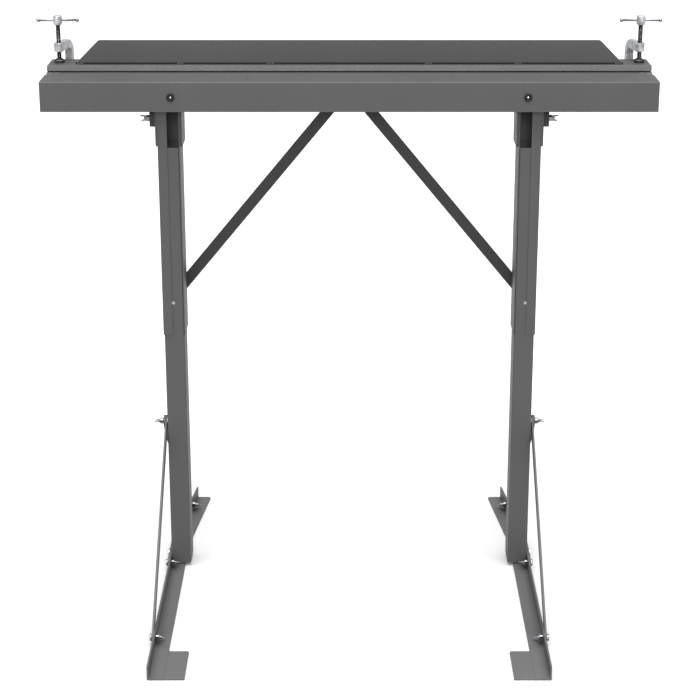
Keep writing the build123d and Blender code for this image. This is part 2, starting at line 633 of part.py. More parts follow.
def tommy_bar():
    """Sliding cross bar with peened ball ends."""
    bar = rod_x((-TOMMY_HALF + TOMMY_BALL_R, TOMMY_HALF - TOMMY_BALL_R), 0, TOMMY_Z, TOMMY_R)
    for side in (-1, 1):
        bar += Pos(side * (TOMMY_HALF - TOMMY_BALL_R), 0, TOMMY_Z) * Sphere(TOMMY_BALL_R)
    return Pos(CLAMP_X, CLAMP_Y, 0) * bar


# ---- build ---------------------------------------------------------------------------------
save("leaf_angle", leaf_angle())
save_pair("leaf_hinge_lug", leaf_lug())
save_both("handle_socket_bolts", [handle_bolt()])

save("bed_angle", bed_angle())
save_pair("bed_hinge_lug", bed_lug())
save_pair("hinge_pin", rod_x((LEAF_LUG_X[0], BED_LUG_X[1]), AXIS_Y, AXIS_Z, PIN_R))
save_both("clamp_bar_shims", [block(SHIM_X, SHIM_Y, (TABLE_Z, TABLE_Z + SHIM_T))])
save("clamp_bar_plate", clamp_bar_plate())
save("clamp_bar_stiffener", clamp_bar_stiffener())

save_pair("leg_socket", leg_socket())
save_pair("socket_block", side_block())
save_pair("leg_backing_plate", backing_plate())
save_pair("upper_leg", upper_leg())
save_pair("lower_leg", lower_leg())
save_pair("knee_brace", knee_brace())

save_pair("front_base_beam", front_beam())
save_pair("front_foot_pad", front_pad())
save_pair("rear_base_beam", rear_beam())
save_pair("front_strut", front_strut())
save_pair("rear_strut", rear_strut())
save_pair("strut_spacer", strut_spacer())

save_both("wing_nuts", wing_nuts())
save_both("wing_bolts", wing_bolts())
save_both("frame_bolts", frame_bolts())
save_both("frame_nuts", frame_nuts())
save_both("splice_washers", [splice_washer()])

save_pair("c_clamp_frame", c_clamp_frame())
save_pair("swivel_pad", swivel_pad())
save_pair("clamp_screw", clamp_screw())
save_pair("tommy_bar", tommy_bar())
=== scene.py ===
"""Sheet metal bending brake on a bolted stand: finishes, fine shapes, light and camera.

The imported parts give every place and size. This script rounds the edges of the folded and
rolled steel, casts the clamps and wing nuts, cuts the threads, lays the weld beads, and
gives each finish its own procedural material. Lengths named _mm are millimetres.
"""

import json
import logging
from collections.abc import Callable
from dataclasses import dataclass, field
from enum import Enum
from math import pi, radians

import bmesh
import bpy
import numpy as np
from mathutils import Matrix, Vector

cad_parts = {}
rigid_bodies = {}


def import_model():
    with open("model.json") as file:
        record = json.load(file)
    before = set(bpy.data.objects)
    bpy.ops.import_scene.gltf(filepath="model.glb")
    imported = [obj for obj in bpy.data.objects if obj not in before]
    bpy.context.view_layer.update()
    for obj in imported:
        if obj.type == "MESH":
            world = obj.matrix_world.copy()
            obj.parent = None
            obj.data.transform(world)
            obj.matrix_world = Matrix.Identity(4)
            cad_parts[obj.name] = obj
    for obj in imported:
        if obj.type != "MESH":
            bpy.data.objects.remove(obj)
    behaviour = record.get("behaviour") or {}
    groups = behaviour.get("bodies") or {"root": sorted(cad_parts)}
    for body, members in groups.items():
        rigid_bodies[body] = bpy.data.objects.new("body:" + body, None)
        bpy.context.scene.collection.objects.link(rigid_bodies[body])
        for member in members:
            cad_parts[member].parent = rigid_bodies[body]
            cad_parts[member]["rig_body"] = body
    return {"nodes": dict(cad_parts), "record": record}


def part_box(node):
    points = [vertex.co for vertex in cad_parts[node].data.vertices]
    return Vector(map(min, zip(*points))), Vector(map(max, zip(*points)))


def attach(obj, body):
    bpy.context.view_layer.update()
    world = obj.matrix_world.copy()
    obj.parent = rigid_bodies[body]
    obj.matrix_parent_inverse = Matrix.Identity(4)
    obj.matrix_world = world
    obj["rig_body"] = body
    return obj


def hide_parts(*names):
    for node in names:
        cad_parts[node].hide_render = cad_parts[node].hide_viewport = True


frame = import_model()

Material = bpy.types.Material
Mesh = bpy.types.Mesh
Node = bpy.types.Node
Socket = bpy.types.NodeSocket
Tree = bpy.types.NodeTree

MM = 0.001
SAME_PLACE_MM = 0.002  # corners closer than this are one corner
FLAT_DEG = 0.4  # triangles that bend less than this are one face
LEVEL_SEED, UPRIGHT_SEED = 11, 12  # ripples of the socket fillets
SHARP_DEG = 35.0  # edges that bend more than this are rounded
JOINED_SHARP_DEG = 40.0  # the same for shading, on pieces joined from several shapes
PLAIN_SHARP_DEG = 30.0  # the same for shading, on pieces that keep their own shape
LOG = logging.getLogger("bending_brake")
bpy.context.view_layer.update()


class Side(Enum):
    """The two ends of the brake, with the sign of X on that side."""

    LEFT = -1
    RIGHT = 1

    @property
    def word(self) -> str:
        """The side's word in node and body names."""
        return self.name.lower()


# ---- shared helpers ------------------------------------------------------------------------
def linear(hex_colour: str) -> tuple[float, float, float, float]:
    """Turn an sRGB hex colour into linear RGBA.

    Args:
        hex_colour: six hex digits, such as "4f5052".

    Returns:
        Linear red, green, blue and an alpha of 1.
    """
    channels = [int(hex_colour[i : i + 2], 16) / 255 for i in (0, 2, 4)]
    curve = [c / 12.92 if c <= 0.04045 else ((c + 0.055) / 1.055) ** 2.4 for c in channels]
    return (*curve, 1.0)


def add_node(tree: Tree, kind: str, settings: dict | None = None, links: dict | None = None) -> Node:
    """Add a node with its settings and links.

    Args:
        tree: the node tree that gets the node.
        kind: the node's type name.
        settings: attributes set on the node.
        links: input socket, by name or index, to a value or to another node's output socket.

    Returns:
        The new node.
    """
    node = tree.nodes.new(kind)
    for name, value in (settings or {}).items():
        setattr(node, name, value)
    for key, value in (links or {}).items():
        if isinstance(value, Socket):
            tree.links.new(value, node.inputs[key])
        else:
            node.inputs[key].default_value = value
    return node


def maths(tree: Tree, operation: str, *values: float | Socket) -> Socket:
    """Add a Math node.

    Args:
        tree: the node tree that gets the node.
        operation: what it works out, such as "DIVIDE".
        values: its inputs in order, each a number or a socket.

    Returns:
        The result's socket.
    """
    return add_node(tree, "ShaderNodeMath", {"operation": operation}, dict(enumerate(values))).outputs[0]


def add_piece(
    name: str, mesh: Mesh, material: Material, body: str, replaces: tuple[str, ...] = ()
) -> bpy.types.Object:
    """Put a finished mesh on the object.

    Args:
        name: the piece's name.
        mesh: the mesh, already in its place.
        material: its finish.
        body: the body that it rides on.
        replaces: nodes that it stands for.

    Returns:
        The new object.
    """
    mesh.materials.clear()
    mesh.materials.append(material)
    piece = bpy.data.objects.new(name, mesh)
    bpy.context.scene.collection.objects.link(piece)
    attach(piece, body)
    if replaces:
        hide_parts(*replaces)
    LOG.info("%s: %d faces on %s", name, len(mesh.polygons), body)
    return piece


def merged_copy(node: str) -> Mesh:
    """Copy a node's mesh with its loose triangles joined into whole flat faces.

    Args:
        node: the node's name.

    Returns:
        A new mesh.
    """
    mesh = frame["nodes"][node].data.copy()
    mesh.materials.clear()
    work = bmesh.new()
    work.from_mesh(mesh)
    bmesh.ops.remove_doubles(work, verts=work.verts, dist=SAME_PLACE_MM * MM)
    bmesh.ops.dissolve_limit(work, angle_limit=radians(FLAT_DEG), verts=work.verts, edges=work.edges)
    work.to_mesh(mesh)
    work.free()
    if mesh.has_custom_normals:
        mesh.attributes.remove(mesh.attributes["custom_normal"])
    return mesh


def with_modifiers(mesh: Mesh, build: Callable[[bpy.types.Object], None]) -> Mesh:
    """Run modifiers on a mesh and return the result as a plain mesh.

    Args:
        mesh: the mesh to work on; it is used up.
        build: a function that adds the modifiers to the object it is given.

    Returns:
        The evaluated mesh.
    """
    holder = bpy.data.objects.new("holder", mesh)
    bpy.context.scene.collection.objects.link(holder)
    build(holder)
    graph = bpy.context.evaluated_depsgraph_get()
    result = bpy.data.meshes.new_from_object(holder.evaluated_get(graph), depsgraph=graph)
    bpy.data.objects.remove(holder)
    return result


def smooth(mesh: Mesh, angle_deg: float | None = None) -> Mesh:
    """Shade a mesh smooth, keeping edges above an angle sharp.

    Args:
        mesh: the mesh.
        angle_deg: the angle above which an edge stays sharp, or None for no sharp edge.

    Returns:
        The same mesh.
    """
    mesh.polygons.foreach_set("use_smooth", [True] * len(mesh.polygons))
    if angle_deg is not None:
        mesh.set_sharp_from_angle(angle=radians(angle_deg))
    mesh.update()
    return mesh


def rounded(mesh: Mesh, radius_mm: float, segments: int = 2) -> Mesh:
    """Round every sharp edge of a mesh.

    Args:
        mesh: the mesh; it is used up.
        radius_mm: width of the rounding.
        segments: faces across the rounding.

    Returns:
        The rounded mesh.
    """

    def build(holder: bpy.types.Object) -> None:
        """Add the bevel."""
        bevel = holder.modifiers.new("round", "BEVEL")
        bevel.width = radius_mm * MM
        bevel.segments = segments
        bevel.limit_method = "ANGLE"
        bevel.angle_limit = radians(SHARP_DEG)
        bevel.harden_normals = True

    return with_modifiers(smooth(mesh), build)


def cast(mesh: Mesh, voxel_mm: float, rounds: int = 4) -> Mesh:
    """Melt a mesh into a casting with soft corners.

    Args:
        mesh: the mesh; it is used up.
        voxel_mm: the remesh voxel.
        rounds: smoothing rounds.

    Returns:
        The cast mesh.
    """

    def build(holder: bpy.types.Object) -> None:
        """Add the remesh and the smoothing."""
        remesh = holder.modifiers.new("melt", "REMESH")
        remesh.mode = "VOXEL"
        remesh.voxel_size = voxel_mm * MM
        remesh.use_smooth_shade = True
        soften = holder.modifiers.new("soften", "SMOOTH")
        soften.factor = 0.5
        soften.iterations = rounds

    return smooth(with_modifiers(mesh, build))


def joined(meshes: list[Mesh], name: str) -> Mesh:
    """Join meshes into one.

    Args:
        meshes: the meshes; they are used up.
        name: the new mesh's name.

    Returns:
        The joined mesh.
    """
    work = bmesh.new()
    for mesh in meshes:
        work.from_mesh(mesh)
        bpy.data.meshes.remove(mesh)
    result = bpy.data.meshes.new(name)
    work.to_mesh(result)
    work.free()
    return smooth(result, JOINED_SHARP_DEG)


# ---- finishes ------------------------------------------------------------------------------
class Surface:
    """A material in the making: its textures lie on Object coordinates, in metres."""

    def __init__(self, name: str) -> None:
        """Start the material.

        Args:
            name: the material's name.
        """
        self.material = bpy.data.materials.new(name)
        self.material.use_nodes = True
        self.tree = self.material.node_tree
        self.shader = self.tree.nodes["Principled BSDF"]
        self.place = add_node(self.tree, "ShaderNodeTexCoord").outputs["Object"]

    def noise(self, size_mm: float, detail: float = 2.0) -> Socket:
        """Add a noise.

        Args:
            size_mm: rough width of its features.
            detail: how many finer layers it has.

        Returns:
            Its factor, from 0 to 1.
        """
        links = {"Vector": self.place, "Scale": 1.0 / (size_mm * MM), "Detail": detail}
        return add_node(self.tree, "ShaderNodeTexNoise", {}, links).outputs["Fac"]

    def mapped(self, value: Socket, start: tuple[float, float], end: tuple[float, float]) -> Socket:
        """Stretch one range of values onto another.

        Args:
            value: what is stretched.
            start: the range that it comes from.
            end: the range that it is brought to.

        Returns:
            The stretched value.
        """
        links = dict(enumerate((value, *start, *end)))
        return add_node(self.tree, "ShaderNodeMapRange", {}, links).outputs[0]

    def colour(self, factor: Socket, low: str, high: str) -> None:
        """Colour the surface between two tones.

        Args:
            factor: 0 for the first tone, 1 for the second.
            low: the first tone.
            high: the second tone.
        """
        mix = add_node(self.tree, "ShaderNodeMix", {"data_type": "RGBA"}, {0: factor})
        mix.inputs[6].default_value = linear(low)
        mix.inputs[7].default_value = linear(high)
        self.tree.links.new(mix.outputs[2], self.shader.inputs["Base Color"])

    def relief(self, height: Socket, strength: float, depth_mm: float) -> None:
        """Give the surface a fine relief.

        Args:
            height: the relief.
            strength: how strongly it shows.
            depth_mm: its depth.
        """
        links = {"Strength": strength, "Distance": depth_mm * MM, "Height": height}
        bump = add_node(self.tree, "ShaderNodeBump", {}, links)
        self.tree.links.new(bump.outputs["Normal"], self.shader.inputs["Normal"])

    def finished(self, metallic: float, roughness: float | Socket, ior: float = 1.5) -> Material:
        """Set what is left and hand the material over.

        Args:
            metallic: 0 for paint, 1 for bare metal.
            roughness: a number or a pattern.
            ior: index of refraction of the top coat.

        Returns:
            The material.
        """
        self.shader.inputs["Metallic"].default_value = metallic
        self.shader.inputs["IOR"].default_value = ior
        if isinstance(roughness, Socket):
            self.tree.links.new(roughness, self.shader.inputs["Roughness"])
        else:
            self.shader.inputs["Roughness"].default_value = roughness
        return self.material


@dataclass(frozen=True)
class PowderCoat:
    """Dark grey polyester powder coat, baked on mill steel.

    It gives the eye a satin sheen over a faint orange peel, with a slow drift in tone where
    the coat is thicker.
    """

    name: str = "dark_grey_powder_coat"
    thin: str = "343435"
    thick: str = "3b3b3c"
    drift_mm: float = 140.0
    peel_mm: float = 2.2  # real peel is about 1 mm; drawn coarser so that it shows
    peel_depth_mm: float = 0.12
    grain_mm: float = 0.7
    grain_share: float = 0.35  # of the drift's own range
    grain_middle: float = -0.17  # keeps the grain about even round the drift
    roughness: tuple[float, float] = (0.45, 0.6)

    def material(self) -> Material:
        """Build the material."""
        surface = Surface(self.name)
        drift = surface.noise(self.drift_mm, 3.0)
        specks = surface.noise(self.grain_mm)
        grain = maths(surface.tree, "MULTIPLY_ADD", specks, self.grain_share, self.grain_middle)
        surface.colour(maths(surface.tree, "ADD", drift, grain), self.thin, self.thick)
        peel = surface.noise(self.peel_mm, 1.5)
        surface.relief(peel, 0.1, self.peel_depth_mm)
        return surface.finished(0.0, surface.mapped(peel, (0.35, 0.65), self.roughness), 1.4)


@dataclass(frozen=True)
class ZincPlate:
    """Bright zinc plate on turned steel: a pale metal with a faint cloudiness from the bath."""

    name: str = "bright_zinc_plate"
    dull: str = "77797b"
    bright: str = "b4b6b8"
    cloud_mm: float = 5.0
    scratch_mm: float = 0.35
    scratch_depth_mm: float = 0.05
    roughness: tuple[float, float] = (0.42, 0.2)  # where the plate is dull, and where it is bright

    def material(self) -> Material:
        """Build the material."""
        surface = Surface(self.name)
        cloud = surface.noise(self.cloud_mm, 4.0)
        surface.colour(cloud, self.dull, self.bright)
        surface.relief(surface.noise(self.scratch_mm), 0.12, self.scratch_depth_mm)
        return surface.finished(1.0, surface.mapped(cloud, (0.3, 0.7), self.roughness))


@dataclass(frozen=True)
class PlatedCasting:
    """Zinc-plated malleable iron: pale, matt and grainy like the sand that it was cast in."""

    name: str = "plated_sand_casting"
    hollow: str = "75767a"
    crest: str = "b6b7b9"
    sand_mm: float = 1.1  # real sand is about 0.3 mm; drawn coarser so that it shows
    lump_mm: float = 9.0
    lump_share: float = 0.8  # of the sand's own relief
    relief_mm: float = 0.25
    metallic: float = 0.75
    roughness: float = 0.5

    def material(self) -> Material:
        """Build the material."""
        surface = Surface(self.name)
        sand = surface.noise(self.sand_mm, 3.0)
        height = maths(surface.tree, "MULTIPLY_ADD", surface.noise(self.lump_mm), self.lump_share, sand)
        surface.colour(surface.mapped(height, (0.65, 1.1), (0.0, 1.0)), self.hollow, self.crest)
        surface.relief(height, 0.4, self.relief_mm)
        return surface.finished(self.metallic, self.roughness)


@dataclass(frozen=True)
class BlackOxide:
    """Oil-finished black oxide on turned steel: nearly black, with a low oily gloss."""

    name: str = "oiled_black_oxide"
    deep: str = "0b0b0b"
    worn: str = "2e2e2e"
    wear_mm: float = 3.0
    metallic: float = 0.6
    roughness: tuple[float, float] = (0.28, 0.5)

    def material(self) -> Material:
        """Build the material."""
        surface = Surface(self.name)
        wear = surface.noise(self.wear_mm, 5.0)
        surface.colour(surface.mapped(wear, (0.5, 0.75), (0.0, 1.0)), self.deep, self.worn)
        return surface.finished(self.metallic, surface.mapped(wear, (0.3, 0.7), self.roughness))


# ---- repeated shapes -----------------------------------------------------------------------
class GeometryTree:
    """A Geometry Nodes tree with named inputs, run as often as a sub-assembly needs it."""

    def __init__(self, name: str, inputs: dict[str, str]) -> None:
        """Start the tree.

        Args:
            name: the tree's name.
            inputs: input name to socket type, such as "NodeSocketFloat".
        """
        self.tree = bpy.data.node_groups.new(name, "GeometryNodeTree")
        face = self.tree.interface
        self.sockets = {
            label: face.new_socket(label, in_out="INPUT", socket_type=kind).identifier
            for label, kind in inputs.items()
        }
        face.new_socket("Geometry", in_out="OUTPUT", socket_type="NodeSocketGeometry")
        self.source = self.tree.nodes.new("NodeGroupInput")
        self.sink = self.tree.nodes.new("NodeGroupOutput")

    def add(self, kind: str, settings: dict | None = None, links: dict | None = None) -> Node:
        """Add a node to the tree; see add_node."""
        return add_node(self.tree, kind, settings, links)

    def maths(self, operation: str, *values: float | Socket) -> Socket:
        """Add a Math node to the tree; see maths."""
        return maths(self.tree, operation, *values)

    def scattered(self, low: tuple[float, ...], high: tuple[float, ...]) -> Socket:
        """Add a random vector for each instance, from the input named Seed.

        Args:
            low: least value on each axis.
            high: greatest value on each axis.

        Returns:
            The vector's socket.
        """
        links = {0: low, 1: high, "Seed": self.input("Seed")}
        return self.add("FunctionNodeRandomValue", {"data_type": "FLOAT_VECTOR"}, links).outputs[0]

    def input(self, label: str) -> Socket:
        """The socket that carries a named input."""
        return self.source.outputs[label]

    def close(self, geometry: Socket) -> None:
        """End the tree in Realize Instances and Set Material.

        Args:
            geometry: the socket with the finished shape.
        """
        real = self.add("GeometryNodeRealizeInstances", {}, {"Geometry": geometry})
        links = {"Geometry": real.outputs[0], "Material": self.input("Finish")}
        dressed = self.add("GeometryNodeSetMaterial", {}, links)
        self.tree.links.new(dressed.outputs[0], self.sink.inputs[0])

    def run(self, values: dict, place: Matrix) -> Mesh:
        """Make one mesh.

        Args:
            values: input name to value.
            place: where the result goes.

        Returns:
            A plain mesh in its place.
        """

        def build(holder: bpy.types.Object) -> None:
            """Add the tree as a modifier and set its inputs."""
            modifier = holder.modifiers.new("shape", "NODES")
            modifier.node_group = self.tree
            for label, value in values.items():
                modifier[self.sockets[label]] = value

        mesh = with_modifiers(bpy.data.meshes.new("seed"), build)
        mesh.transform(place)
        return mesh


class ScrewThread(GeometryTree):
    """A right-hand V thread along +Z: a cylinder whose skin is pulled in along a helix."""

    FACETS = 20  # round the blank
    RINGS_PER_TURN = 6
    LEAST_RINGS = 8
    DEPTH_SHARE = 0.6  # of the pitch, near the 0.61 of a metric thread

    def __init__(self) -> None:
        """Build the tree."""
        inputs = {label: "NodeSocketFloat" for label in ("Radius", "Length", "Pitch", "Depth")}
        super().__init__("screw_thread", {**inputs, "Rings": "NodeSocketInt", "Finish": "NodeSocketMaterial"})
        sizes = {
            "Vertices": self.FACETS,
            "Side Segments": self.input("Rings"),
            "Radius": self.input("Radius"),
            "Depth": self.input("Length"),
        }
        blank = self.add("GeometryNodeMeshCylinder", {"fill_type": "NGON"}, sizes).outputs["Mesh"]
        spot = self.add("GeometryNodeInputPosition").outputs[0]
        axes = self.add("ShaderNodeSeparateXYZ", {}, {0: spot}).outputs
        turns = self.maths("DIVIDE", self.maths("ARCTAN2", axes[1], axes[0]), 2 * pi)
        rise = self.maths("DIVIDE", axes[2], self.input("Pitch"))
        wave = self.maths("PINGPONG", self.maths("SUBTRACT", rise, turns), 0.5)
        cut = self.maths("MULTIPLY", wave, self.input("Depth"))
        share = self.maths("DIVIDE", cut, self.input("Radius"))
        keep = self.maths("MULTIPLY_ADD", share, -2.0, 1.0)
        across = self.add("ShaderNodeCombineXYZ", {}, {0: keep, 1: keep, 2: 1.0}).outputs[0]
        moved = self.add("ShaderNodeVectorMath", {"operation": "MULTIPLY"}, {0: spot, 1: across}).outputs[0]
        shaped = self.add("GeometryNodeSetPosition", {}, {"Geometry": blank, "Position": moved})
        self.close(shaped.outputs[0])

    def cut(
        self, radius_mm: float, length_mm: float, pitch_mm: float, finish: Material, place: Matrix
    ) -> Mesh:
        """Make one threaded length, centred on the origin of place.

        Args:
            radius_mm: outer radius.
            length_mm: length.
            pitch_mm: rise of one turn.
            finish: its material.
            place: where its middle goes.

        Returns:
            The mesh.
        """
        values = {
            "Radius": radius_mm * MM,
            "Length": length_mm * MM,
            "Pitch": pitch_mm * MM,
            "Depth": self.DEPTH_SHARE * pitch_mm * MM,
            "Rings": max(self.LEAST_RINGS, int(length_mm / pitch_mm * self.RINGS_PER_TURN)),
            "Finish": finish,
        }
        return self.run(values, place)


class WeldBead(GeometryTree):
    """A run of overlapping weld ripples along +X, painted over with the steel around it."""

    LEAST_RIPPLES = 3
    STEP_SHARE = 0.85  # of the half width, from one ripple to the next
    SIZES = ((0.62, 0.9, 0.72), (0.78, 1.08, 0.92))  # least and greatest, of the half width
    LEANS = ((-0.2, -0.25, -0.3), (0.2, 0.25, 0.3))  # least and greatest, in radians

    def __init__(self) -> None:
        """Build the tree."""
        inputs = {"Length": "NodeSocketFloat", "Width": "NodeSocketFloat"}
        inputs |= {"Ripples": "NodeSocketInt", "Seed": "NodeSocketInt", "Finish": "NodeSocketMaterial"}
        super().__init__("weld_bead", inputs)
        end = self.add("ShaderNodeCombineXYZ", {}, {0: self.input("Length")}).outputs[0]
        steps = {"Count": self.input("Ripples"), "Start Location": (0, 0, 0), "Offset": end}
        line = self.add("GeometryNodeMeshLine", {"mode": "END_POINTS"}, steps).outputs[0]
        ball = {"Radius": self.input("Width"), "Subdivisions": 2}
        ripple = self.add("GeometryNodeMeshIcoSphere", {}, ball).outputs[0]
        size = self.scattered(*self.SIZES)
        lean = self.scattered(*self.LEANS)
        links = {"Points": line, "Instance": ripple, "Rotation": lean, "Scale": size}
        self.close(self.add("GeometryNodeInstanceOnPoints", {}, links).outputs[0])

    def lay(self, start: Vector, end: Vector, width_mm: float, seed: int, finish: Material) -> Mesh:
        """Lay one bead.

        Args:
            start: first end of the bead, in metres.
            end: other end.
            width_mm: half width of the bead.
            seed: seed of its ripples.
            finish: its material.

        Returns:
            The mesh.
        """
        run = end - start
        place = Matrix.Translation(start) @ run.to_track_quat("X", "Z").to_matrix().to_4x4()
        values = {
            "Length": run.length,
            "Width": width_mm * MM,
            "Ripples": max(self.LEAST_RIPPLES, int(run.length / (width_mm * self.STEP_SHARE * MM))),
            "Seed": seed,
            "Finish": finish,
        }
        return self.run(values, place)


# ---- sub-assemblies ------------------------------------------------------------------------
@dataclass
class Shop:
    """The finishes and the repeated shapes that every sub-assembly draws on.

    Attributes:
        paint: the powder coat on the steelwork.
        brace_paint: the same coat darkened on the braces and socket blocks, as painted shade of the leaf and
            bed above them.
        floor_paint: a paler copy of the coat on the feet and base beams, as painted light on the floor-level
            tops.
        zinc: bright zinc on frame bolts and nuts.
        dull_zinc: a darker copy of the zinc on wing nuts, their bolts and the tommy bars, as painted shade.
        glint: near-white steel, the painted highlight on the floor of each handle socket.
        casting: plated malleable iron of the clamps.
        black: black oxide on the handle bolts.
        blued: the clamps' spindles.
        grey_oxide: the clamps' pads, worn grey.
        thread: the screw thread tool.
        weld: the weld bead tool.
    """

    paint: Material = field(default_factory=lambda: PowderCoat().material())
    # painted shade: a darker copy of the coat for the braces and socket blocks, which lie in the shade under
    # the leaf
    brace_paint: Material = field(
        default_factory=lambda: PowderCoat("darker_powder_coat", "151516", "1c1c1d").material()
    )
    # painted light: a paler copy of the coat for the feet and base beams, standing in for the brighter light
    # on the floor-level tops
    floor_paint: Material = field(
        default_factory=lambda: PowderCoat("scuffed_powder_coat", "3e3e3f", "474748").material()
    )
    zinc: Material = field(default_factory=lambda: ZincPlate().material())
    # painted shade: a darker copy of the bright zinc, painting shade onto the wing nuts, their bolts and the
    # tommy bars
    dull_zinc: Material = field(
        default_factory=lambda: ZincPlate(
            "dull_zinc_plate", "5a5c5e", "8c8e90", roughness=(0.45, 0.25)
        ).material()
    )
    # painted highlight: near-white steel for the bright spot on the floor of each handle socket
    bare: Material = field(
        default_factory=lambda: ZincPlate("bare_steel", "c4c4c4", "f0f0f0", roughness=(0.35, 0.25)).material()
    )
    casting: Material = field(default_factory=lambda: PlatedCasting().material())
    black: Material = field(default_factory=lambda: BlackOxide().material())
    blued: Material = field(
        default_factory=lambda: BlackOxide(
            "blued_screw", "3c3c3d", "8a8a8b", 2.0, 1.0, (0.16, 0.34)
        ).material()
    )
    grey_oxide: Material = field(
        default_factory=lambda: BlackOxide("grey_oxide", "2e2e2f", "565657", 3.0, 0.8, (0.3, 0.5)).material()
    )
    thread: ScrewThread = field(default_factory=ScrewThread)
    weld: WeldBead = field(default_factory=WeldBead)

    def finish_of(self, slot: str) -> Material:
        """The material of one of the record's slots."""
        return {
            "grey_paint": self.paint,
            "zinc_plate": self.zinc,
            "plated_casting": self.casting,
            "black_oxide": self.black,
        }[slot]


def slot_of(node: str) -> str:
    """The record's material slot of a node."""
    return next(part["material_slot"] for part in frame["record"]["subparts"] if part["node"] == node)


def body_of(node: str) -> str:
    """The body that a node rides on."""
    return frame["nodes"][node]["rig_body"]


@dataclass
class SteelWork:
    """Everything rolled, folded or cut from steel: the same shapes with their edges rounded.

    Attributes:
        rolled_mm: edge radius of the thick rolled angles and flats.
        folded_mm: edge radius of the thin folded channels.
        cut_mm: edge radius of cut plates and struts.
    """

    shop: Shop
    rolled_mm: float = 0.9
    folded_mm: float = 0.35
    cut_mm: float = 0.5

    def dress(self, node: str, radius_mm: float) -> None:
        """Replace a node by its rounded copy.

        Args:
            node: the node's name.
            radius_mm: edge radius.
        """
        slot = slot_of(node)
        mesh = rounded(merged_copy(node), radius_mm)
        finish = self.shop.finish_of(slot)
        # painted shade: the braces and socket blocks get the darker copy of the coat
        if node.startswith(("knee_brace", "socket_block")):
            finish = self.shop.brace_paint
        # painted light: the feet and base beams get the paler copy of the coat
        elif node.startswith(("front_base_beam", "rear_base_beam", "front_foot_pad")):
            finish = self.shop.floor_paint
        add_piece(f"{node}_edged", mesh, finish, body_of(node), (node,))

    def build(self) -> None:
        """Dress every steel node."""
        for node in ("leaf_angle", "bed_angle", "clamp_bar_plate", "clamp_bar_stiffener"):
            self.dress(node, self.rolled_mm)
        for side in Side:
            for stem in ("upper_leg", "lower_leg"):
                self.dress(f"{stem}_{side.word}", self.folded_mm)
            for stem in (
                "leg_socket",
                "socket_block",
                "leg_backing_plate",
                "knee_brace",
                "front_base_beam",
                "front_foot_pad",
                "rear_base_beam",
                "front_strut",
                "rear_strut",
                "strut_spacer",
                "bed_hinge_lug",
                "leaf_hinge_lug",
            ):
                self.dress(f"{stem}_{side.word}", self.cut_mm)
        for node in ("frame_bolts", "frame_nuts", "splice_washers", "clamp_bar_shims"):
            self.dress(node, self.folded_mm)


@dataclass
class HandleBolts:
    """Socket-head bolts of the handle sockets: black heads, with a near-white spot on each socket's floor as
    a painted highlight.

    Attributes:
        bare_mm: radius of the painted highlight, a near-white spot on the socket's floor.
        bare_rise: thickness of that spot, as a share of its width.
        floor_mm: how far the socket's floor stands in front of the leaf.
        rim_mm: how far behind the head's face its rim is looked for.
        edge_mm: edge radius.
    """

    shop: Shop
    bare_mm: float = 1.6
    bare_rise: float = 0.35
    floor_mm: float = 0.8
    rim_mm: float = 0.05
    edge_mm: float = 0.35

    def build(self) -> None:
        """Dress the bolts and put a painted highlight on the floor of each socket."""
        node = "handle_socket_bolts"
        mesh = rounded(merged_copy(node), self.edge_mm)
        low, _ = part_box(node)
        leaf_low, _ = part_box("leaf_angle")
        floor_y = leaf_low.y - self.floor_mm * MM
        spots = []
        for side in Side:
            face_y = low.y + self.rim_mm * MM
            rim = [v.co for v in mesh.vertices if v.co.x * side.value > 0 and v.co.y < face_y]
            middle = sum(rim, Vector()) / len(rim)
            spot = bmesh.new()
            flat = Matrix.Scale(self.bare_rise, 4, (0, 1, 0))
            place = Matrix.Translation((middle.x, floor_y, middle.z)) @ flat
            bmesh.ops.create_icosphere(spot, subdivisions=3, radius=self.bare_mm * MM, matrix=place)
            shape = bpy.data.meshes.new("spot")
            spot.to_mesh(shape)
            spot.free()
            spots.append(shape)
        add_piece(f"{node}_edged", mesh, self.shop.black, body_of(node), (node,))
        # painted highlight: a flat near-white disc on the floor of each socket
        glints = joined(spots, "handle_socket_floors")
        add_piece("handle_socket_floors", glints, self.shop.bare, body_of(node))


